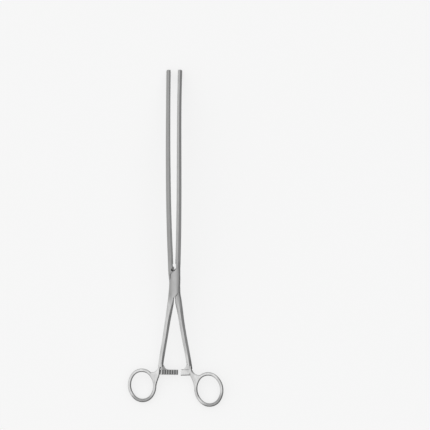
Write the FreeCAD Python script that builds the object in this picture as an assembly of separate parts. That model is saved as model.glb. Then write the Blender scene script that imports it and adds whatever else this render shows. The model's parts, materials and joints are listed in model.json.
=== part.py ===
import FreeCAD, Part
import math
import os
from FreeCAD import Vector

os.makedirs("parts", exist_ok=True)

# Intestinal forceps with a box lock, in millimetres.
# Each half is drawn closed, seen from the front: the hinge is the origin, +Y runs to the tips and +Z to
# the viewer. Then the halves are opened a little and the forceps is laid down on its tips and rings.

# Lock
LOCK_DEPTH = 7.4            # front face to back face
LOCK_TOP = 13.6             # hinge to where the jaws leave the lock
LOCK_CORNER = 0.8           # rounding along the lock's left side
LOCK_BEVEL = 3.2            # wider rounding along its right side
WAIST = [                   # height, left side, right side of the lock
    (LOCK_TOP, -5.95, 4.95),
    (6.0, -5.55, 5.2),
    (0.0, -5.3, 5.15),
    (-6.0, -5.6, 4.9),
    (-LOCK_TOP, -6.2, 5.5),
]
SLOT_HALF_LENGTH = 11.0     # slot's end above and below the hinge
TONGUE_THICKNESS = 2.8
TONGUE_HALF_WIDTH = 4.85
TONGUE_PLAY = 0.05          # gap on each face of the tongue
TONGUE_END_PLAY = 0.2       # gap between the tongue's round end and the slot's end
SHOULDER_PLAY = 0.06        # gap between the shoulders when the jaws are shut
SEAT_RADIUS = 6.8           # shoulders turn past each other on this radius
UPPER_SEAM = [(-0.2, 13.45), (-4.3, 9.8)]
LOWER_SEAM = [(-0.55, -13.2), (3.9, -7.8)]
CROTCH = (-1.75, 13.75, 1.6)        # relief between the jaws' roots: x, y, radius
HEEL = (-0.55, -13.5, 0.85)         # relief between the shanks' roots: x, y, radius
WEB_REACH = 1.5             # webs in the reliefs, as a share of the relief's radius
WEB_THICKNESS = 1.0
SEAM_GROOVE = 0.4           # width and depth of the groove along the shoulders' seams
BOX_SWEEP = 30.0            # degrees each shoulder follows the seat radius round: through the outer half,
UPPER_SWEEP = 12.0          # on the inner half's upper and lower shoulders,
LOWER_SWEEP = 8.0
GROOVE_SWEEP = 8.0          # and along the grooves
PIN_RADIUS = 1.9
PIN_PLAY = 0.03

# Jaws
JAW_START = 23.0            # hinge to the end of the serrated face
JAW_STRAIGHT = 6.0          # straight run before the first bend
BEND_RADIUS = 236.0         # bends at the base and towards the tip
MIDDLE_RADIUS = 520.0       # flatter stretch between them
BASE_BEND = 12.5            # degrees turned in each stretch
MIDDLE_BEND = 4.6
TIP_BEND = 20.6
JAW_WIDTH_BASE = 4.9        # serrated face to the jaw's back
JAW_WIDTH_TIP = 3.95
JAW_DEPTH_BASE = 7.4
JAW_DEPTH_TIP = 7.0
JAW_TAPER = 1.25            # a jaw reaches its tip's width this much sooner than its tip
JAW_STATIONS = 8
ROOT_MIDDLE = dict(height=0.5, reach=0.6, square=0.35)     # shares half way from lock to serrations
BOW_SHARES = [0.0, 0.3, 0.67, 1.0]          # where along a jaw its bow is given
BOX_JAW_BOW = [0.27, 0.78, 0.16, 0.03]      # jaw's face to the middle line, base to tip
TONGUE_JAW_BOW = [1.2, 1.72, 1.12, 0.03]
GROOVE_PITCH = 1.7
GROOVE_LAND = 0.86
GROOVE_DEPTH = 0.4
RECESS_DEPTH = 0.45         # plain face between the serrations and the lock
PRONG_LENGTH = 4.2          # pointed ends of the two middle ridges
TIP_SIDE_PLAY = 0.05        # tip's rounding stands this far off the jaw's depth
TIP_BACK_ROUND = 1.5
TIP_FACE_BEVEL = 0.4

# Shanks: height, inner side, outer side, depth, squareness
BOX_SHANK = [
    (-LOCK_TOP, -0.8, -6.2, LOCK_DEPTH, 1.0),
    (-17.5, -0.9, -6.75, 7.3, 0.6),
    (-26.0, -2.1, -7.8, 6.8, 0.15),
    (-42.0, -4.85, -9.95, 6.0, 0.0),
    (-60.0, -7.6, -12.45, 5.4, 0.0),
    (-74.0, -9.8, -14.6, 4.9, 0.1),
    (-80.5, -10.7, -15.4, 4.2, 0.7),
]
TONGUE_SHANK = [
    (-LOCK_TOP, -0.45, 5.5, LOCK_DEPTH, 1.0),
    (-17.5, -0.25, 6.0, 7.3, 0.6),
    (-26.0, 1.1, 6.8, 6.8, 0.15),
    (-42.0, 3.35, 8.45, 6.0, 0.0),
    (-60.0, 6.15, 11.05, 5.4, 0.0),
    (-74.0, 8.35, 13.15, 4.9, 0.1),
    (-83.0, 9.5, 14.2, 4.2, 0.7),
]

# Rings
RING_BAND = 3.0
RING_DEPTH = 4.3
PAD_DEPTH = 4.0             # flat web where shank, ring and rack meet
PAD_BEVEL = 1.0             # along the pads' edges and the front rack's lower edge
# long and short reach to the hole's edge. end is the radius of the ends, along the band's middle.
BOX_RING = dict(centre=(-30.3, -99.0), long=13.2, short=10.5, end=10.48163, lean=4.8)
TONGUE_RING = dict(centre=(29.3, -103.3), long=13.7, short=10.8, end=10.65002, lean=6.8)
BOX_PAD = dict(
    outside=[(-14.95, -78.0), (-15.6, -82.6), (-19.3, -86.1), (-24.6, -84.9)],
    inside=[(-10.3, -78.0), (-12.9, -81.8), (-13.8, -88.4), (-15.3, -93.2), (-17.0, -101.5)])
TONGUE_PAD = dict(
    outside=[(13.75, -80.0), (14.7, -85.6), (18.2, -88.9), (24.0, -88.0)],
    inside=[(9.0, -80.0), (11.6, -88.6), (13.9, -94.2), (15.5, -102.0)])

# Ratchet
RACK_MIDDLE = -86.1         # hinge to the middle of the racks
RACK_CREST_PLAY = 0.06      # gap between the crests of the two racks
TOOTH_PITCH = 2.3
TOOTH_HEIGHT = 0.9
TOOTH_LAND = 0.85           # flat top of a tooth
RACK_EDGE_BEVEL = 0.5       # along the front rack's upper edge
RACK_ROOT_FLARE = 4.6       # radius of the hollow between rack and shank
FLARE_RISE = 1.6            # height of the rear rack's hollowed corner at the shank
BOX_RACK = dict(root=-15.0, flare=-9.7, end=3.65, height=4.6, teeth=7)
TONGUE_RACK = dict(root=11.6, flare=8.6, end=3.1, height=5.9, teeth=3)

# How it lies: each half's turn out of the shut pose, in degrees
BOX_TURN = -0.72
TONGUE_TURN = 1.34

JAW = dict(flat_in=GROOVE_PITCH + (GROOVE_PITCH - GROOVE_LAND) / 2, flat_out=0.5, ridge=0.42)
SHANK = dict(flat_in=0.45, flat_out=0.45, ridge=0.5)
FINE = 0.05                 # how closely points follow a surface
BEYOND = 20 * LOCK_TOP      # farther out than any part of the forceps
REST_STEPS = 8              # rounds in which the resting turn settles
TIP_ZONE = 0.9              # shares of the reach forwards and back that hold the tips and the rings
RING_ZONE = 0.6
RIDGE_LAND = 0.5            # width of the flat along a jaw's or shank's ridge
ROUND_BULGE = math.sqrt(2) - 1


def mix(low, high, share):
    return low + (high - low) * share


def curve_through(points):
    curve = Part.BSplineCurve()
    curve.interpolate([Vector(*point) for point in points])
    return curve


def curved_edge(start, end, corner, bulge):
    """Edge from start to end that swells towards the corner: 0 is straight, ROUND_BULGE is round."""
    if bulge == 0:
        return Part.makeLine(start, end)
    middle = (start + end) / 2
    return Part.Arc(start, middle + (corner - middle) * bulge, end).toShape()


def bar_section(place, inner, outer, depth, square, style, grooved=False):
    """Outline across a jaw, shank or the lock. It has a ridge along the front and the back, and the
    ridge widens to a flat face as the section turns square. place puts a point in space."""
    half = depth / 2
    width = abs(outer - inner)
    way = math.copysign(1.0, outer - inner)
    ridge = inner + way * style["ridge"] * width
    corner_out = LOCK_BEVEL if way > 0 else LOCK_CORNER
    near = mix(ridge - way * RIDGE_LAND / 2, inner + way * LOCK_CORNER, square)
    far = mix(ridge + way * RIDGE_LAND / 2, outer - way * corner_out, square)
    flat_in = mix(style["flat_in"], half - LOCK_CORNER, square)
    flat_out = mix(style["flat_out"], half - corner_out, square)
    bulge = ROUND_BULGE * square
    edges = []
    face = [(inner, -flat_in), (inner, flat_in)]
    if grooved:
        face = grooved_face(inner, way)
    for start, end in zip(face, face[1:]):
        edges.append(Part.makeLine(place(*start), place(*end)))
    edges.append(curved_edge(place(inner, flat_in), place(near, half), place(inner, half), bulge))
    edges.append(Part.makeLine(place(near, half), place(far, half)))
    edges.append(curved_edge(place(far, half), place(outer, flat_out), place(outer, half), bulge))
    edges.append(Part.makeLine(place(outer, flat_out), place(outer, -flat_out)))
    edges.append(curved_edge(place(outer, -flat_out), place(far, -half), place(outer, -half), bulge))
    edges.append(Part.makeLine(place(far, -half), place(near, -half)))
    edges.append(curved_edge(place(near, -half), place(inner, -flat_in), place(inner, -half), bulge))
    return Part.Wire(edges)


def grooved_face(inner, way):
    """Points across the jaw's face: three grooves with two ridges between them."""
    half_groove = (GROOVE_PITCH - GROOVE_LAND) / 2
    points = []
    for middle in (-GROOVE_PITCH, 0.0, GROOVE_PITCH):
        points.append((inner, middle - half_groove))
        points.append((inner + way * GROOVE_DEPTH, middle))
        points.append((inner, middle + half_groove))
    return points


def flat_place(height):
    """Places section points in a level plane across the forceps."""
    return lambda across, depth: Vector(across, height, depth)


def jaw_point(run):
    """Height, depth and lean of the jaw's middle line at a run from the end of the serrations."""
    stretches = [
        (JAW_STRAIGHT, None),
        (math.radians(BASE_BEND) * BEND_RADIUS, BEND_RADIUS),
        (math.radians(MIDDLE_BEND) * MIDDLE_RADIUS, MIDDLE_RADIUS),
        (math.radians(TIP_BEND) * BEND_RADIUS, BEND_RADIUS),
    ]
    height, depth, lean = JAW_START, 0.0, 0.0
    for length, radius in stretches:
        part = min(run, length)
        if radius is None:
            height += part
        else:
            turned = lean + part / radius
            height += radius * (math.sin(turned) - math.sin(lean))
            depth -= radius * (math.cos(lean) - math.cos(turned))
            lean = turned
        run -= part
    return height, depth, lean


def jaw_length():
    bends = math.radians(BASE_BEND + TIP_BEND) * BEND_RADIUS
    return JAW_STRAIGHT + bends + math.radians(MIDDLE_BEND) * MIDDLE_RADIUS


def jaw_place(run):
    """Places section points square to the jaw's curve."""
    height, depth, lean = jaw_point(run)
    return lambda across, rise: Vector(
        across, height + rise * math.sin(lean), depth + rise * math.cos(lean))


def serrated_jaw(side, bow):
    """The grooved and curved length of a jaw. side is 1 on the right and -1 on the left."""
    length = jaw_length()
    middle_line = curve_through([
        (share * length, across, 0.0) for share, across in zip(BOW_SHARES, bow)])
    sections = []
    for station in range(JAW_STATIONS):
        share = station / (JAW_STATIONS - 1)
        inner = middle_line.value(middle_line.parameter(Vector(share * length, 0.0, 0.0))).y
        if station == JAW_STATIONS - 1:
            inner = bow[3]
        width = mix(JAW_WIDTH_BASE, JAW_WIDTH_TIP, min(1.0, JAW_TAPER * share))
        depth = mix(JAW_DEPTH_BASE, JAW_DEPTH_TIP, share)
        sections.append(bar_section(
            jaw_place(share * length), side * inner, side * (inner + width), depth, 0.0, JAW, True))
    return Part.makeLoft(sections, True, False).cut(tip_waste(side, bow[3]))


def tip_waste(side, inner):
    """What is filed off a jaw's end to round it."""
    radius = JAW_DEPTH_TIP / 2 + TIP_SIDE_PLAY
    reach = 3 * radius
    width = JAW_WIDTH_TIP + 2 * TIP_SIDE_PLAY
    pill = Part.makeCylinder(radius, width, Vector(inner - TIP_SIDE_PLAY, 0, 0), Vector(1, 0, 0))
    rims = [edge for edge in pill.Edges if isinstance(edge.Curve, Part.Circle)]
    face_rim, back_rim = sorted(rims, key=lambda edge: edge.CenterOfMass.x)
    pill = pill.makeFillet(TIP_BACK_ROUND, [back_rim])
    pill = pill.makeChamfer(TIP_FACE_BEVEL, [near_edge(pill, face_rim)])
    block = Part.makeBox(2 * reach, reach, 2 * reach, Vector(-reach / 2, 0, -reach))
    waste = block.cut(pill)
    if side < 0:
        waste = waste.mirror(Vector(0, 0, 0), Vector(1, 0, 0))
    height, depth, lean = jaw_point(jaw_length() - radius)
    waste.rotate(Vector(0, 0, 0), Vector(1, 0, 0), -math.degrees(lean))
    waste.translate(Vector(0, height, depth))
    return waste


def near_edge(shape, wanted):
    """The edge of a shape whose middle lies nearest to the wanted edge's middle."""
    return min(shape.Edges, key=lambda edge: (edge.CenterOfMass - wanted.CenterOfMass).Length)


def jaw_root(side, bow):
    """The plain stretch from the lock to the end of the serrations, with the two pointed prongs."""
    inner = bow[0] + RECESS_DEPTH
    outer = bow[0] + JAW_WIDTH_BASE
    lock_outer = abs(WAIST[0][2] if side > 0 else WAIST[0][1])
    stations = [
        (LOCK_TOP, lock_outer, LOCK_DEPTH, 1.0),
        (mix(LOCK_TOP, JAW_START, ROOT_MIDDLE["height"]), mix(lock_outer, outer, ROOT_MIDDLE["reach"]),
         LOCK_DEPTH, ROOT_MIDDLE["square"]),
        (JAW_START, outer, JAW_DEPTH_BASE, 0.0),
    ]
    sections = [bar_section(flat_place(height), side * inner, side * reach, depth, square, JAW)
                for height, reach, depth, square in stations]
    root = Part.makeLoft(sections, True, False)
    for middle in (-GROOVE_PITCH / 2, GROOVE_PITCH / 2):
        root = root.fuse(prong(side, bow[0], middle))
    return root


def prong(side, face, middle):
    corners = [
        Vector(side * face, JAW_START, middle - GROOVE_LAND / 2),
        Vector(side * face, JAW_START - PRONG_LENGTH, middle),
        Vector(side * face, JAW_START, middle + GROOVE_LAND / 2),
    ]
    outline = Part.Face(Part.makePolygon(corners + corners[:1]))
    return outline.extrude(Vector(side * 2 * RECESS_DEPTH, 0, 0))


def lock_block():
    sections = [bar_section(flat_place(height), left, right, LOCK_DEPTH, 1.0, SHANK)
                for height, left, right in WAIST]
    return Part.makeLoft(sections, True, False)


def shoulder(seam, sweep, play):
    """The region outside a seam: up the seam's slope, down beside the lock and round on the seat
    radius. The other half's shoulder fills it, less the play."""
    crotch, bend = seam
    side = math.copysign(1.0, bend[0])
    up = math.copysign(1.0, bend[1])
    slope = Vector(bend[0] - crotch[0], bend[1] - crotch[1], 0).normalize()
    outward = Vector(slope.y, -slope.x, 0) * (-side * up)
    radius = SEAT_RADIUS + play
    beside = bend[0] + side * play
    along = math.atan2(up * math.sqrt(radius ** 2 - beside ** 2), beside)
    offset = outward * play
    start = Vector(*crotch) + offset
    corner_share = (beside - start.x) / slope.x
    corner = start + slope * corner_share
    seat = Vector(beside, radius * math.sin(along), 0)
    turned = along + math.radians(sweep)
    seat_end = Vector(radius * math.cos(turned), radius * math.sin(turned), 0)
    seat_middle_angle = (along + turned) / 2
    seat_middle = Vector(radius * math.cos(seat_middle_angle), radius * math.sin(seat_middle_angle), 0)
    reach = BEYOND
    away = Vector(side * reach, seat_end.y, 0)
    outline = [
        Part.makeLine(start, corner),
        Part.makeLine(corner, seat),
        Part.Arc(seat, seat_middle, seat_end).toShape(),
        Part.makeLine(seat_end, away),
        Part.makeLine(away, Vector(side * reach, up * reach, 0)),
        Part.makeLine(Vector(side * reach, up * reach, 0), Vector(start.x, up * reach, 0)),
        Part.makeLine(Vector(start.x, up * reach, 0), start),
    ]
    prism = Part.Face(Part.Wire(outline)).extrude(Vector(0, 0, 2 * LOCK_DEPTH))
    prism.translate(Vector(0, 0, -LOCK_DEPTH))
    return prism


def reliefs():
    """Round reliefs in the front and back faces at both ends of the lock."""
    tools = []
    for across, height, radius in (CROTCH, HEEL):
        for way in (1, -1):
            tools.append(Part.makeCylinder(
                radius, LOCK_DEPTH, Vector(across, height, way * WEB_THICKNESS / 2), Vector(0, 0, way)))
    return Part.makeCompound(tools)


def seam_groove(seam):
    """Step along a seam in the front and back faces, on the outer half's side of it."""
    outside = shoulder(seam, GROOVE_SWEEP, -SEAM_GROOVE)
    core = Part.makeBox(4 * LOCK_TOP, 4 * LOCK_TOP, LOCK_DEPTH - 2 * SEAM_GROOVE,
                        Vector(-2 * LOCK_TOP, -2 * LOCK_TOP, SEAM_GROOVE - LOCK_DEPTH / 2))
    return outside.cut(core)


def plate(outline, low, high):
    """A flat plate between two depths from an outline of points."""
    points = [Vector(x, y, low) for x, y in outline]
    return Part.Face(Part.makePolygon(points + points[:1])).extrude(Vector(0, 0, high - low))


def tongue():
    """The thinned middle of the inner half. Webs close the reliefs half way down."""
    half = TONGUE_THICKNESS / 2
    radius = SLOT_HALF_LENGTH - TONGUE_END_PLAY
    disc = Part.makeCylinder(radius, TONGUE_THICKNESS, Vector(0, 0, -half))
    strip = Part.makeBox(2 * TONGUE_HALF_WIDTH, 2 * radius, TONGUE_THICKNESS,
                         Vector(-TONGUE_HALF_WIDTH, -radius, -half))
    body = disc.common(strip)
    for seam, relief in ((UPPER_SEAM, CROTCH), (LOWER_SEAM, HEEL)):
        across, height, size = relief
        web = Part.makeCylinder(WEB_REACH * size, WEB_THICKNESS, Vector(across, height, -WEB_THICKNESS / 2))
        body = body.fuse(web.common(shoulder(seam, LOWER_SWEEP, SHOULDER_PLAY)))
    return body.cut(pin_cylinder(PIN_RADIUS + PIN_PLAY))


def pin_cylinder(radius):
    return Part.makeCylinder(radius, LOCK_DEPTH, Vector(0, 0, -LOCK_DEPTH / 2))


def slot():
    half = TONGUE_THICKNESS / 2 + TONGUE_PLAY
    return Part.makeBox(4 * LOCK_DEPTH, 2 * SLOT_HALF_LENGTH, 2 * half,
                        Vector(-2 * LOCK_DEPTH, -SLOT_HALF_LENGTH, -half))


def shank(stations):
    sections = [bar_section(flat_place(height), inner, outer, depth, square, SHANK)
                for height, inner, outer, depth, square in stations]
    return Part.makeLoft(sections, True, False)


def oval_arcs(ring):
    """Centre, radius, first and last angle of the four arcs along the middle of a ring's band."""
    long = ring["long"] + RING_BAND / 2
    short = ring["short"] + RING_BAND / 2
    end = ring["end"]
    side = (long ** 2 + short ** 2 - 2 * long * end) / (2 * (short - end))
    end_turn = math.atan2(side - short, long - end)
    arcs = []
    for quarter in range(4):
        heading = math.radians(90 + ring["lean"] + 90 * quarter)
        reach, radius, turn = (long, end, end_turn)
        if quarter % 2:
            reach, radius, turn = (short, side, math.pi / 2 - end_turn)
        centre = Vector(*ring["centre"]) + heading_vector(heading) * (reach - radius)
        arcs.append((centre, radius, heading - turn, heading + turn))
    return arcs


def heading_vector(angle):
    return Vector(math.cos(angle), math.sin(angle), 0)


def ring_section(middle, out):
    """Outline across a ring's band: straight sides with a half-round front and back."""
    half_band = RING_BAND / 2
    straight = RING_DEPTH / 2 - half_band
    corners = [middle + out * (x * half_band) + Vector(0, 0, z * straight)
               for x, z in ((1, 1), (-1, 1), (-1, -1), (1, -1))]
    crown = Vector(0, 0, RING_DEPTH / 2)
    edges = [
        Part.Arc(corners[0], middle + crown, corners[1]).toShape(),
        Part.makeLine(corners[1], corners[2]),
        Part.Arc(corners[2], middle - crown, corners[3]).toShape(),
        Part.makeLine(corners[3], corners[0]),
    ]
    return Part.Face(Part.Wire(edges))


def ring_band(ring):
    pieces = []
    for centre, radius, first, last in oval_arcs(ring):
        out = heading_vector(first)
        face = ring_section(centre + out * radius, out)
        pieces.append(face.revolve(centre, Vector(0, 0, 1), math.degrees(last - first)))
    return pieces[0].fuse(pieces[1:])


def ring_hole(ring):
    """Prism inside the middle of a ring's band, to clear its hole."""
    edges = [Part.Arc(centre + heading_vector(first) * radius,
                      centre + heading_vector((first + last) / 2) * radius,
                      centre + heading_vector(last) * radius).toShape()
             for centre, radius, first, last in oval_arcs(ring)]
    prism = Part.Face(Part.Wire(edges)).extrude(Vector(0, 0, 2 * PAD_DEPTH))
    prism.translate(Vector(0, 0, -PAD_DEPTH))
    return prism


def pad(outline, ring):
    """Flat web between shank, ring and rack, bevelled along its edges."""
    outside = [Vector(*point) for point in outline["outside"]]
    inside = [Vector(*point) for point in outline["inside"]]
    edges = [
        curve_through(outline["outside"]).toShape(),
        Part.makeLine(outside[-1], inside[-1]),
        curve_through(outline["inside"][::-1]).toShape(),
        Part.makeLine(inside[0], outside[0]),
    ]
    face = Part.Face(Part.Wire(edges))
    web = face.extrude(Vector(0, 0, PAD_DEPTH))
    web.translate(Vector(0, 0, -PAD_DEPTH / 2))
    rims = [edge for edge in web.Edges if isinstance(edge.Curve, Part.BSplineCurve)
            and abs(edge.CenterOfMass.z) > PAD_DEPTH / 2 - FINE]
    web = web.makeChamfer(PAD_BEVEL, rims)
    return web.cut(ring_hole(ring))


def rack(side, sizes):
    """Ratchet rack. side is 1 for the rack behind, with its teeth on the front, and -1 for the rack in
    front, with its teeth on the back. The steep sides hold the jaws shut."""
    crest = -side * RACK_CREST_PLAY / 2
    valley = crest - side * TOOTH_HEIGHT
    back = -side * PAD_DEPTH / 2
    root, end, height = sizes["root"], sizes["end"], sizes["height"]
    low = RACK_MIDDLE - height / 2
    outline = [Vector(root, low, back), Vector(end, low, back), Vector(end, low, valley)]
    for tooth in range(sizes["teeth"]):
        steep = end - side * (tooth + 1) * TOOTH_PITCH
        outline.append(Vector(steep + side * TOOTH_LAND, low, crest))
        outline.append(Vector(steep, low, crest))
        outline.append(Vector(steep, low, valley))
    outline.append(Vector(root, low, valley))
    bar = Part.Face(Part.makePolygon(outline + outline[:1])).extrude(Vector(0, height, 0))
    if side < 0:
        front = [edge for edge in bar.Edges if edge.BoundBox.ZMin > back - FINE
                 and edge.BoundBox.YLength < FINE and edge.BoundBox.XLength > TOOTH_PITCH]
        lower, upper = sorted(front, key=lambda edge: edge.CenterOfMass.y)
        bar = bar.makeChamfer(PAD_BEVEL, [lower])
        bar = bar.makeChamfer(RACK_EDGE_BEVEL, [near_edge(bar, upper)])
    return bar.fuse(rack_flare(side, sizes, valley, back))


def rack_flare(side, sizes, valley, back):
    """Hollowed corner between a rack and its shank. The rack behind's slopes back from the shank."""
    top = RACK_MIDDLE + sizes["height"] / 2
    start, finish = sizes["root"], sizes["flare"] + side * RACK_ROOT_FLARE
    high = FLARE_RISE if side > 0 else valley
    outline = [Vector(start, top, back), Vector(finish, top, back), Vector(finish, top, valley),
               Vector(start, top, high)]
    block = Part.Face(Part.makePolygon(outline + outline[:1])).extrude(Vector(0, RACK_ROOT_FLARE, 0))
    hollow = Part.makeCylinder(RACK_ROOT_FLARE, 2 * PAD_DEPTH,
                               Vector(finish, top + RACK_ROOT_FLARE, -PAD_DEPTH))
    return block.cut(hollow)


def box_half():
    lock = lock_block()
    lock = lock.cut(shoulder(UPPER_SEAM, BOX_SWEEP, 0.0))
    lock = lock.cut(shoulder(LOWER_SEAM, BOX_SWEEP, 0.0))
    lock = lock.cut([seam_groove(UPPER_SEAM), seam_groove(LOWER_SEAM)])
    body = lock.fuse([jaw_root(1, BOX_JAW_BOW), shank(BOX_SHANK)])
    body = body.cut(slot())
    body = body.cut(reliefs())
    body = body.cut(pin_cylinder(PIN_RADIUS))
    return body.fuse([
        serrated_jaw(1, BOX_JAW_BOW),
        pad(BOX_PAD, BOX_RING),
        ring_band(BOX_RING),
        rack(1, BOX_RACK),
    ])


def tongue_half():
    block = lock_block()
    upper = block.fuse(jaw_root(-1, TONGUE_JAW_BOW)).common(shoulder(UPPER_SEAM, UPPER_SWEEP, SHOULDER_PLAY))
    lower = block.fuse(shank(TONGUE_SHANK)).common(shoulder(LOWER_SEAM, LOWER_SWEEP, SHOULDER_PLAY))
    body = upper.fuse(lower).cut(reliefs())
    return body.fuse([
        tongue(),
        serrated_jaw(-1, TONGUE_JAW_BOW),
        pad(TONGUE_PAD, TONGUE_RING),
        ring_band(TONGUE_RING),
        rack(-1, TONGUE_RACK),
    ])


def surface_points(shapes):
    return [point for shape in shapes for point in shape.tessellate(FINE)[0]]


def lowest(points, tilt, roll, wanted):
    """Lowest height among the wanted points once they are tilted about X and rolled about Y."""
    best = None
    for point in points:
        if wanted(point):
            height = point.y * math.sin(tilt) + point.z * math.cos(tilt)
            height = height * math.cos(roll) - point.x * math.sin(roll)
            best = height if best is None else min(best, height)
    return best


def resting_turn(halves):
    """Tilt and roll, in degrees, with which the forceps lies on its left tip and both rings."""
    points = surface_points(halves)
    far_end = max(point.y for point in points)
    near_end = min(point.y for point in points)
    tilt, roll = 0.0, 0.0
    for step in range(REST_STEPS):
        tip = lowest(points, tilt, roll, lambda p: p.y > TIP_ZONE * far_end and p.x < 0)
        left = lowest(points, tilt, roll, lambda p: p.y < RING_ZONE * near_end and p.x < 0)
        right = lowest(points, tilt, roll, lambda p: p.y < RING_ZONE * near_end and p.x > 0)
        tilt -= math.atan2(tip - (left + right) / 2, far_end - near_end)
        roll -= math.atan2(left - right, abs(BOX_RING["centre"][0]) + TONGUE_RING["centre"][0])
    return math.degrees(tilt), math.degrees(roll)


def main():
    halves = {"box_half": box_half(), "tongue_half": tongue_half(), "lock_pin": pin_cylinder(PIN_RADIUS)}
    turns = {"box_half": BOX_TURN, "tongue_half": TONGUE_TURN, "lock_pin": BOX_TURN}
    for name, shape in halves.items():
        shape.rotate(Vector(0, 0, 0), Vector(0, 0, 1), turns[name])
    tilt, roll = resting_turn([halves["box_half"], halves["tongue_half"]])
    for shape in halves.values():
        shape.rotate(Vector(0, 0, 0), Vector(1, 0, 0), tilt)
        shape.rotate(Vector(0, 0, 0), Vector(0, 1, 0), roll)
    bounds = FreeCAD.BoundBox()
    for point in surface_points(halves.values()):
        bounds.add(point)
    for name, shape in halves.items():
        shape.translate(Vector(-bounds.Center.x, -bounds.Center.y, -bounds.ZMin))
        shape.exportStep("parts/" + name + ".step")


main()
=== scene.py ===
import json
import math

import bpy
from bpy.props import FloatProperty, FloatVectorProperty, PointerProperty
from bpy.types import Operator, Panel, PropertyGroup
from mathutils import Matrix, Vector

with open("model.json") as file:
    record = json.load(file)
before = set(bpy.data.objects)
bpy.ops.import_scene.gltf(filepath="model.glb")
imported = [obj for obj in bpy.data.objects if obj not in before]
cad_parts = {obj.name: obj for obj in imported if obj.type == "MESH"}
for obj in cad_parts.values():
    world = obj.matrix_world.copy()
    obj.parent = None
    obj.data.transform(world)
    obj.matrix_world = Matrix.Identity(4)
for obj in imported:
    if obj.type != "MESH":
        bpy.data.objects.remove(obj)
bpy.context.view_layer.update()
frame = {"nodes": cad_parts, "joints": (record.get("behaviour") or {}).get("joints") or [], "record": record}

bl_info = {
    "name": "Intestinal forceps",
    "version": (1, 0, 0),
    "blender": (4, 5, 0),
    "location": "View3D > Sidebar > Forceps",
    "description": "Finishes long box-lock forceps in satin steel and lays them on a pale table",
    "category": "Object",
}

SENSOR_WIDTH = 36.0  # millimetres
EDGE_SAMPLES = 6
HOLLOW_SAMPLES = 8
NOISE_DETAIL = 3.0
NOISE_ROUGHNESS = 0.6
WHITE = (1.0, 1.0, 1.0, 1.0)

HINGE = frame["joints"][0]
LOCK = Vector(HINGE["pos_m"])  # middle of the box lock
FRONT = Vector(HINGE["axis"])  # where the front of the forceps faces as it lies
MOUNTS = {mount["name"]: Vector(mount["pos_m"]) for mount in frame["record"]["mounts"]}
RING_ENDS = {  # middle of each half's ring, and the heading in which the ring's end with painted shade lies
    "box_half": (MOUNTS["left_ring"], Vector((0.0, -1.0, 0.0))),
    "tongue_half": (MOUNTS["right_ring"], Vector((0.5, -0.87, 0.0))),
}


# Shader maths

class Wire:
    """A node's output that Python's operators work on, adding Math nodes as they go."""

    def __init__(self, tree, socket):
        self.tree = tree
        self.socket = socket

    def output(self, name):
        """Another output of the same node."""
        return Wire(self.tree, self.socket.node.outputs[name])

    def maths(self, operation, *values):
        """A Math node on these values, which are numbers or Wires."""
        return add_node(self.tree, "ShaderNodeMath", {"operation": operation}, dict(enumerate(values)))

    def __add__(self, other):
        return self.maths("ADD", self, other)

    def __sub__(self, other):
        return self.maths("SUBTRACT", self, other)

    def __rsub__(self, other):
        return self.maths("SUBTRACT", other, self)

    def __mul__(self, other):
        return self.maths("MULTIPLY", self, other)

    def __abs__(self):
        return self.maths("ABSOLUTE", self)

    __radd__ = __add__
    __rmul__ = __mul__


def add_node(tree, kind, settings, sockets, out=0):
    """Adds a node with its settings. sockets maps its inputs, by name or number, to values or Wires."""
    node = tree.nodes.new(kind)
    for name, value in settings.items():
        setattr(node, name, value)
    for key, value in sockets.items():
        if isinstance(value, Wire):
            tree.links.new(value.socket, node.inputs[key])
        else:
            node.inputs[key].default_value = value
    return Wire(tree, node.outputs[out]) if node.outputs else node


def vector_maths(tree, operation, first, second):
    return add_node(tree, "ShaderNodeVectorMath", {"operation": operation}, {0: first, 1: second})


def dot_product(tree, first, second):
    return vector_maths(tree, "DOT_PRODUCT", first, second).output("Value")


def scaled(tree, vector, factor):
    return add_node(tree, "ShaderNodeVectorMath", {"operation": "SCALE"}, {0: vector, "Scale": factor})


def smooth_step(wire, border):
    """0 below the border's low value, 1 above its high one and a soft rise between."""
    low, high = border
    return add_node(wire.tree, "ShaderNodeMapRange", {"interpolation_type": "SMOOTHSTEP"},
                    {"Value": wire, "From Min": low, "From Max": high})


def between(first, second, share):
    """A value that goes from first to second as share goes from 0 to 1."""
    return first + (second - first) * share


def mix_colours(tree, share, first, second):
    """Blends two colours. The Mix node has its colour inputs at 6 and 7 and its colour output at 2."""
    return add_node(tree, "ShaderNodeMix", {"data_type": "RGBA"}, {0: share, 6: first, 7: second}, out=2)


def opaque(colour):
    return (*colour, 1.0)


def empty_material(name):
    """The material of this name with no nodes, made when there is none yet."""
    material = bpy.data.materials.get(name) or bpy.data.materials.new(name)
    material.use_nodes = True
    material.node_tree.nodes.clear()
    return material


# Kinds of sizes and colours

def colour_property(name, description, default):
    return FloatVectorProperty(name=name, description=description, default=default, subtype="COLOR",
                               size=3, min=0.0, max=1.0)


def share_property(name, description, default):
    return FloatProperty(name=name, description=description, default=default, min=0.0, max=1.0,
                         subtype="FACTOR")


def number_property(name, description, default):
    return FloatProperty(name=name, description=description, default=default)


def length_property(name, description, default):
    return FloatProperty(name=name, description=description, default=default, unit="LENGTH",
                         subtype="DISTANCE")


def stretch_property(name, description, default):
    """Two places or distances between which one finish gives way to another."""
    return FloatVectorProperty(name=name, description=description, default=default, size=2,
                               unit="LENGTH")


def border_property(name, description, default):
    """Two plain numbers between which something sets in or ends."""
    return FloatVectorProperty(name=name, description=description, default=default, size=2)


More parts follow.
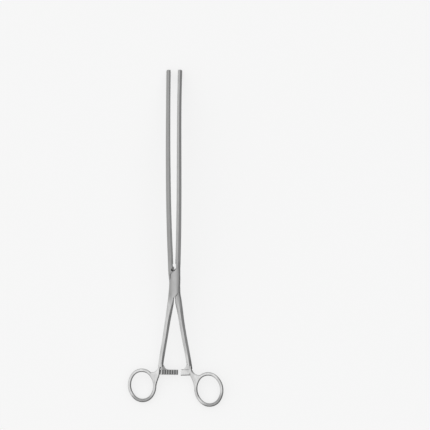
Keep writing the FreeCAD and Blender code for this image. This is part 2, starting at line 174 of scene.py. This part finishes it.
class ForcepsSteel(PropertyGroup):
    """Tones, zones and gloss of the steel, with light and shade painted into many of the tones. Zones are
    measured from the middle of the box lock.
    """

    # Painted light: the bright tone of the handles' pads and rings.
    handle_tint: colour_property("Handles", "Colour of the bright pads and rings", (0.63, 0.63, 0.628))
    # Painted shade: the rings' far ends are darkened.
    ring_end_shade_tint: colour_property("Ring ends", "Colour of the rings' dull ends", (0.27, 0.27, 0.27))
    # Painted shade: the rear rack is darkened.
    rack_shade_tint: colour_property("Rear rack", "Colour of the dull rear rack", (0.33, 0.33, 0.33))
    # Painted light and shade: the shank, lock and jaw tones below are one steel, lighter or darker by zone
    # as the light falls.
    shank_tint: colour_property("Shanks", "Colour of the shanks", (0.53, 0.53, 0.528))
    lock_tint: colour_property("Lock", "Colour of the lock's lighter middle", (0.42, 0.42, 0.418))
    lock_side_tint: colour_property(
        "Lock sides", "Colour of the lock away from its middle", (0.27, 0.27, 0.268))
    left_jaw_tint: colour_property("Left jaw", "Colour of the left jaw", (0.29, 0.29, 0.288))
    right_jaw_tint: colour_property("Right jaw", "Colour of the right jaw", (0.40, 0.40, 0.398))

    # Painted shade: where the darkening of a ring's end begins and is full.
    ring_end_from: stretch_property(
        "Ring end from", "Distance from a ring's middle where its dull end begins and is full",
        (0.0075, 0.0125))
    # Painted shade: where the rear rack's darkening begins and ends.
    rack_from: stretch_property(
        "Rack from", "Where across the forceps the rear rack's finish begins and is full",
        (-0.0130, -0.0117))
    rack_until: stretch_property(
        "Rack until", "Where along the forceps the rear rack's finish is full and ends",
        (-0.0791, -0.0771))
    # Painted light and shade: where one zone's tone gives way to the next.
    shanks_from: stretch_property(
        "Shanks from", "Where the handles' finish ends and the shanks' is full", (-0.0826, -0.0576))
    lock_from: stretch_property(
        "Lock from", "Where the shanks' finish ends and the lock's is full", (-0.0216, -0.0096))
    lock_light_middle: length_property(
        "Lock light", "Where across the forceps the lock's light stretch has its middle", -0.0007)
    lock_light_until: stretch_property(
        "Lock light until", "Distance from its middle where the lock's light ends and its dark is full",
        (0.001, 0.0036))
    jaws_from: stretch_property(
        "Jaws from", "Where the lock's finish ends and the jaws' is full", (0.0124, 0.0224))

    haze_tint: colour_property("Haze", "Colour of clouded patches", (0.36, 0.36, 0.36))
    haze_depth: share_property("Haze depth", "How far clouded patches take their own colour", 0.5)
    haze_from: border_property("Haze from", "Cloud level where a patch sets in and is full", (0.3, 0.7))
    cloud_size: length_property("Cloud size", "Width of the clouded patches", 0.004)
    cloud_stretch: number_property("Cloud stretch", "Length of a clouded patch in widths", 3.0)
    worn_tint: colour_property("Worn edges", "Colour of edges polished by handling", (0.62, 0.62, 0.615))
    wear: share_property("Wear", "How far edges take their polished colour", 0.35)
    edge_round: length_property("Edge rounding", "How far the light treats edges as rounded", 0.0003)
    edge_from: border_property("Edge from", "Turn of the face where an edge sets in and is full",
                               (0.004, 0.07))
    # Painted shade: upright faces are darkened.
    side_shade_tint: colour_property("Sides", "Colour of upright faces", (0.3, 0.3, 0.298))
    side_depth: share_property("Side depth", "How far upright faces take their own colour", 0.8)
    side_until: border_property("Side until", "Rise of the face where a side is full and ends",
                                (0.15, 0.65))
    shaded_tint: colour_property(
        "Shaded sides", "Colour of the handles' sides away from the window", (0.16, 0.16, 0.158))
    shaded_depth: share_property("Shade depth", "How far those sides take their own colour", 0.8)
    shaded_from: border_property(
        "Shaded from", "Slope away from the window where the shade sets in and is full", (0.1, 0.5))
    # Painted shade: grooves, seams and the lock's reliefs are darkened, as are faces crowded by walls or the
    # table.
    hollow_shade_tint: colour_property(
        "Hollows", "Colour deep in grooves, seams and the lock's reliefs", (0.03, 0.03, 0.03))
    hollow_depth: share_property("Hollow depth", "How far hollows take their own colour", 0.95)
    hollow_until: border_property("Hollow until", "Openness where a hollow is full and ends", (0.2, 0.7))
    hollow_reach: length_property("Hollow reach", "How far apart walls still darken each other", 0.005)

    roughness: share_property("Roughness", "Roughness of the satin finish", 0.3)
    jaw_roughness: share_property("Jaw roughness", "Roughness of the jaws' finish", 0.42)
    haze_roughness: share_property("Haze roughness", "What clouded patches add to the roughness", 0.07)
    line_roughness: share_property("Line roughness", "What polishing lines add to the roughness", 0.05)
    worn_gloss: share_property("Worn gloss", "What worn edges take off the roughness", 0.06)
    lean: share_property("Lean", "Share of a sloping face's lean that its shine shows", 0.6)
    jaw_lean: share_property("Jaw lean", "The same share on the jaws", 0.4)
    grain_width: length_property("Grain width", "Width of one polishing line", 0.00012)
    grain_stretch: number_property("Grain stretch", "Length of a polishing line in widths", 14.0)
    grain_depth: length_property("Grain depth", "Height of the polishing lines", 0.000004)
    grain_strength: share_property("Grain strength", "How strongly the polishing lines show", 0.35)


class ForcepsStage(PropertyGroup):
    """Table, camera and light."""

    floor_tint: colour_property("Table", "Colour of the table", (0.92, 0.92, 0.92))
    floor_glow: share_property("Table glow", "Share of the table's look that shadows don't dim", 0.8)
    floor_side: length_property("Table side", "Side of the square table", 6.0)
    camera_height: length_property("Camera height", "Camera above the table", 3.4)
    picture_width: length_property("Picture width", "Width of the table that the picture shows", 0.4085)
    picture_middle: FloatVectorProperty(
        name="Picture middle", description="Point of the table under the camera", size=2,
        default=(0.0373, 0.0221), unit="LENGTH", subtype="XYZ")
    window_bearing: FloatProperty(
        name="Window bearing", description="Direction the light comes from, round from the right",
        default=math.radians(140), unit="ROTATION", subtype="ANGLE")
    window_light: number_property("Window side", "Brightness of the room on the window's side", 1.25)
    far_light: number_property("Far side", "Brightness of the room away from the window", 0.3)
    window_spread: border_property(
        "Window spread", "Nearness to the window where its light sets in and is full", (-0.6, 0.6))
    overhead_light: number_property("Light from above", "Brightness overhead", 1.3)
    overhead_from: border_property(
        "Overhead from", "Steepness where the light from above sets in and is full", (0.45, 0.95))


# Satin steel

def satin_steel(name, half, steel, away):
    """Stainless steel with soft clouds, fine lines along the instrument and brighter worn edges, with
    painted light and shade: lighter and darker tones by zone, and painted shade on the rings' ends, the rear
    rack, upright faces, the handles' sides away from the window and in hollows. away is the heading that
    leads away from the window."""
    material = empty_material(name)
    tree = material.node_tree
    place = add_node(tree, "ShaderNodeTexCoord", {}, {}, out="Object")
    across = add_node(tree, "ShaderNodeSeparateXYZ", {}, {0: vector_maths(tree, "SUBTRACT", place, LOCK)})
    along = across.output("Y")
    rounded = add_node(tree, "ShaderNodeBevel", {"samples": EDGE_SAMPLES}, {"Radius": steel.edge_round})
    rise = dot_product(tree, rounded, FRONT)
    in_jaws = smooth_step(along, steel.jaws_from)
    lines = stretched_noise(tree, place, steel.grain_width, steel.grain_stretch)
    clouds = stretched_noise(tree, place, steel.cloud_size, steel.cloud_stretch)

    haze = smooth_step(clouds, steel.haze_from)
    # Painted shade in hollows.
    hollows = hollow_shade_share(tree, steel)
    edges = edge_share(tree, rounded, steel) * (1.0 - hollows)
    # Painted shade on upright faces.
    sides = 1.0 - smooth_step(abs(rise), steel.side_until)
    in_handles = 1.0 - smooth_step(along, steel.shanks_from)
    shaded = smooth_step(dot_product(tree, rounded, away), steel.shaded_from) * in_handles

    # Painted light and shade by zone.
    tint = zone_light_and_shade(tree, half, steel, across, along, in_jaws)
    # Painted shade on the rings' far ends.
    ring_end = smooth_step(beyond(tree, place, *RING_ENDS[half]), steel.ring_end_from)
    for share, colour in ((ring_end, steel.ring_end_shade_tint),
                          # Painted shade on the rear rack.
                          (rack_shade_share(half, steel, across, along), steel.rack_shade_tint),
                          (haze * steel.haze_depth, steel.haze_tint),
                          (edges * steel.wear, steel.worn_tint),
                          (sides * steel.side_depth, steel.side_shade_tint),
                          (shaded * steel.shaded_depth, steel.shaded_tint),
                          (hollows * steel.hollow_depth, steel.hollow_shade_tint)):
        tint = mix_colours(tree, share, tint, opaque(colour))
    roughness = (between(steel.roughness, steel.jaw_roughness, in_jaws) + steel.haze_roughness * haze
                 + steel.line_roughness * lines - steel.worn_gloss * edges)
    lean = between(steel.lean, steel.jaw_lean, in_jaws)
    bump = add_node(tree, "ShaderNodeBump", {}, {
        "Strength": steel.grain_strength, "Distance": steel.grain_depth, "Height": lines,
        "Normal": calmed_normal(tree, rounded, rise, lean)})
    shader = add_node(tree, "ShaderNodeBsdfPrincipled", {}, {
        "Base Color": tint, "Metallic": 1.0, "Roughness": roughness, "Normal": bump})
    add_node(tree, "ShaderNodeOutputMaterial", {}, {"Surface": shader})
    return material


def zone_light_and_shade(tree, half, steel, across, along, in_jaws):
    """Painted light and shade along the forceps: the one steel takes a lighter or darker tone on the
    handles, shanks, lock and each jaw, as the light falls on them.
    """
    # Painted light and shade: the lock is lighter in its middle and darker towards its sides.
    off_middle = abs(across - steel.lock_light_middle)
    lock = mix_colours(tree, smooth_step(off_middle, steel.lock_light_until),
                       opaque(steel.lock_tint), opaque(steel.lock_side_tint))
    shanks = mix_colours(tree, smooth_step(along, steel.shanks_from),
                         opaque(steel.handle_tint), opaque(steel.shank_tint))
    tint = mix_colours(tree, smooth_step(along, steel.lock_from), shanks, lock)
    # Painted light and shade: the left jaw, on the tongue half, is darker than the right one.
    jaw_tint = steel.left_jaw_tint if half == "tongue_half" else steel.right_jaw_tint
    return mix_colours(tree, in_jaws, tint, opaque(jaw_tint))


def rack_shade_share(half, steel, across, along):
    """1 on the rear rack, which the box half carries and which takes a painted shade, and 0 elsewhere."""
    if half == "tongue_half":
        return 0.0
    return smooth_step(across, steel.rack_from) * (1.0 - smooth_step(along, steel.rack_until))


def beyond(tree, place, point, heading):
    """How far a place lies beyond a point in a heading."""
    return dot_product(tree, vector_maths(tree, "SUBTRACT", place, point), heading)


def stretched_noise(tree, place, size, stretch):
    """Noise whose patches are size wide and stretch times as long, along the forceps."""
    squeezed = add_node(tree, "ShaderNodeMapping", {}, {
        "Vector": place, "Scale": (1 / size, 1 / (size * stretch), 1 / size)})
    return add_node(tree, "ShaderNodeTexNoise", {}, {
        "Vector": squeezed, "Scale": 1.0, "Detail": NOISE_DETAIL, "Roughness": NOISE_ROUGHNESS})


def hollow_shade_share(tree, steel):
    """Painted shade: 1 deep in grooves, seams and the lock's reliefs, 0 on open faces."""
    openness = add_node(tree, "ShaderNodeAmbientOcclusion", {"samples": HOLLOW_SAMPLES}, {
        "Distance": steel.hollow_reach}, out="AO")
    return 1.0 - smooth_step(openness, steel.hollow_until)


def edge_share(tree, rounded, steel):
    """1 along edges, where the rounded normal leaves the face's own."""
    flat = add_node(tree, "ShaderNodeNewGeometry", {}, {}, out="Normal")
    return smooth_step(1.0 - dot_product(tree, rounded, flat), steel.edge_from)


def calmed_normal(tree, normal, rise, lean):
    """A normal whose lean away from the front of the forceps is reduced to a share, so that sloping
    faces shine as flatter ones do."""
    upright = scaled(tree, FRONT, rise * (1.0 - lean))
    both = vector_maths(tree, "ADD", upright, scaled(tree, normal, lean))
    return add_node(tree, "ShaderNodeVectorMath", {"operation": "NORMALIZE"}, {0: both})


def finish_node(name, half, scene):
    """Gives a solid of the forceps its own steel, with the finish of the half that it belongs to."""
    if name not in frame["nodes"]:
        raise RuntimeError("the forceps has no part named " + name)
    away = -window_heading(scene.forceps_stage)
    material = satin_steel("satin_steel_" + name, half, scene.forceps_steel, away)
    for slot in frame["nodes"][name].material_slots:
        slot.material = material


class FORCEPS_OT_halves(Operator):
    """Finish the two halves in satin steel"""

    bl_idname = "forceps.halves"
    bl_label = "Two halves"

    def execute(self, context):
        for half in RING_ENDS:
            finish_node(half, half, context.scene)
        return {"FINISHED"}


class FORCEPS_OT_rivet(Operator):
    """Finish the rivet of the box lock in the box half's steel"""

    bl_idname = "forceps.rivet"
    bl_label = "Lock rivet"

    def execute(self, context):
        finish_node("lock_pin", "box_half", context.scene)
        return {"FINISHED"}


# Table, light and camera

def lay_table(stage):
    """A square table under the forceps."""
    half = stage.floor_side / 2
    corners = [(-half, -half, 0.0), (half, -half, 0.0), (half, half, 0.0), (-half, half, 0.0)]
    mesh = bpy.data.meshes.new("table")
    mesh.from_pydata(corners, [], [(0, 1, 2, 3)])
    mesh.materials.append(pale_table(stage))
    table = bpy.data.objects.new("table", mesh)
    bpy.context.scene.collection.objects.link(table)


def pale_table(stage):
    """A pale table that the camera, metal and glass see almost evenly lit, with a faint shadow."""
    material = empty_material("pale_table")
    tree = material.node_tree
    tint = opaque(stage.floor_tint)
    matt = add_node(tree, "ShaderNodeBsdfDiffuse", {}, {"Color": tint})
    glow = add_node(tree, "ShaderNodeEmission", {}, {"Color": tint, "Strength": 1.0})
    camera = add_node(tree, "ShaderNodeLightPath", {}, {}, out="Is Camera Ray")
    seen = camera + camera.output("Is Glossy Ray") + camera.output("Is Transmission Ray")
    surface = add_node(tree, "ShaderNodeMixShader", {}, {
        0: stage.floor_glow * seen.maths("MINIMUM", seen, 1.0), 1: matt, 2: glow})
    add_node(tree, "ShaderNodeOutputMaterial", {}, {"Surface": surface})
    return material


def window_heading(stage):
    """The heading that leads to the window."""
    return Vector((math.cos(stage.window_bearing), math.sin(stage.window_bearing), 0.0))


def light_room(stage):
    """A soft room: bright overhead and on the window's side, dim on the far side."""
    world = bpy.data.worlds.new("soft_room")
    bpy.context.scene.world = world
    world.use_nodes = True
    tree = world.node_tree
    tree.nodes.clear()
    direction = add_node(tree, "ShaderNodeTexCoord", {}, {}, out="Generated")
    steepness = add_node(tree, "ShaderNodeSeparateXYZ", {}, {0: direction}, out="Z")
    nearness = dot_product(tree, direction, window_heading(stage))
    side = between(stage.far_light, stage.window_light, smooth_step(nearness, stage.window_spread))
    strength = between(side, stage.overhead_light, smooth_step(steepness, stage.overhead_from))
    shader = add_node(tree, "ShaderNodeBackground", {}, {"Color": WHITE, "Strength": strength})
    add_node(tree, "ShaderNodeOutputWorld", {}, {"Surface": shader})


def set_camera(stage):
    """A camera straight above the table, whose picture is as wide as asked for."""
    data = bpy.data.cameras.new("camera")
    data.sensor_width = SENSOR_WIDTH
    data.lens = SENSOR_WIDTH * stage.camera_height / stage.picture_width
    camera = bpy.data.objects.new("camera", data)
    camera.location = (*stage.picture_middle, stage.camera_height)
    bpy.context.scene.collection.objects.link(camera)
    bpy.context.scene.camera = camera


class FORCEPS_OT_stage(Operator):
    """Lay the pale table, light the room and set the camera over the forceps"""

    bl_idname = "forceps.stage"
    bl_label = "Table, light and camera"

    def execute(self, context):
        stage = context.scene.forceps_stage
        lay_table(stage)
        light_room(stage)
        set_camera(stage)
        context.scene.view_settings.view_transform = "Standard"
        return {"FINISHED"}


# Panel and start

class FORCEPS_PT_panel(Panel):
    """Buttons for the pieces, then their sizes and colours"""

    bl_label = "Intestinal forceps"
    bl_space_type = "VIEW_3D"
    bl_region_type = "UI"
    bl_category = "Forceps"

    def draw(self, context):
        for operator in OPERATORS:
            self.layout.operator(operator.bl_idname)
        for settings in (context.scene.forceps_steel, context.scene.forceps_stage):
            box = self.layout.box()
            for name in settings.__annotations__:
                box.prop(settings, name)


OPERATORS = (FORCEPS_OT_halves, FORCEPS_OT_rivet, FORCEPS_OT_stage)
CLASSES = (ForcepsSteel, ForcepsStage, *OPERATORS, FORCEPS_PT_panel)


def register():
    for cls in CLASSES:
        bpy.utils.register_class(cls)
    bpy.types.Scene.forceps_steel = PointerProperty(type=ForcepsSteel)
    bpy.types.Scene.forceps_stage = PointerProperty(type=ForcepsStage)


def unregister():
    del bpy.types.Scene.forceps_stage
    del bpy.types.Scene.forceps_steel
    for cls in reversed(CLASSES):
        bpy.utils.unregister_class(cls)


def main():
    register()
    bpy.ops.forceps.halves()
    bpy.ops.forceps.rivet()
    bpy.ops.forceps.stage()


if __name__ == "__main__":
    main()
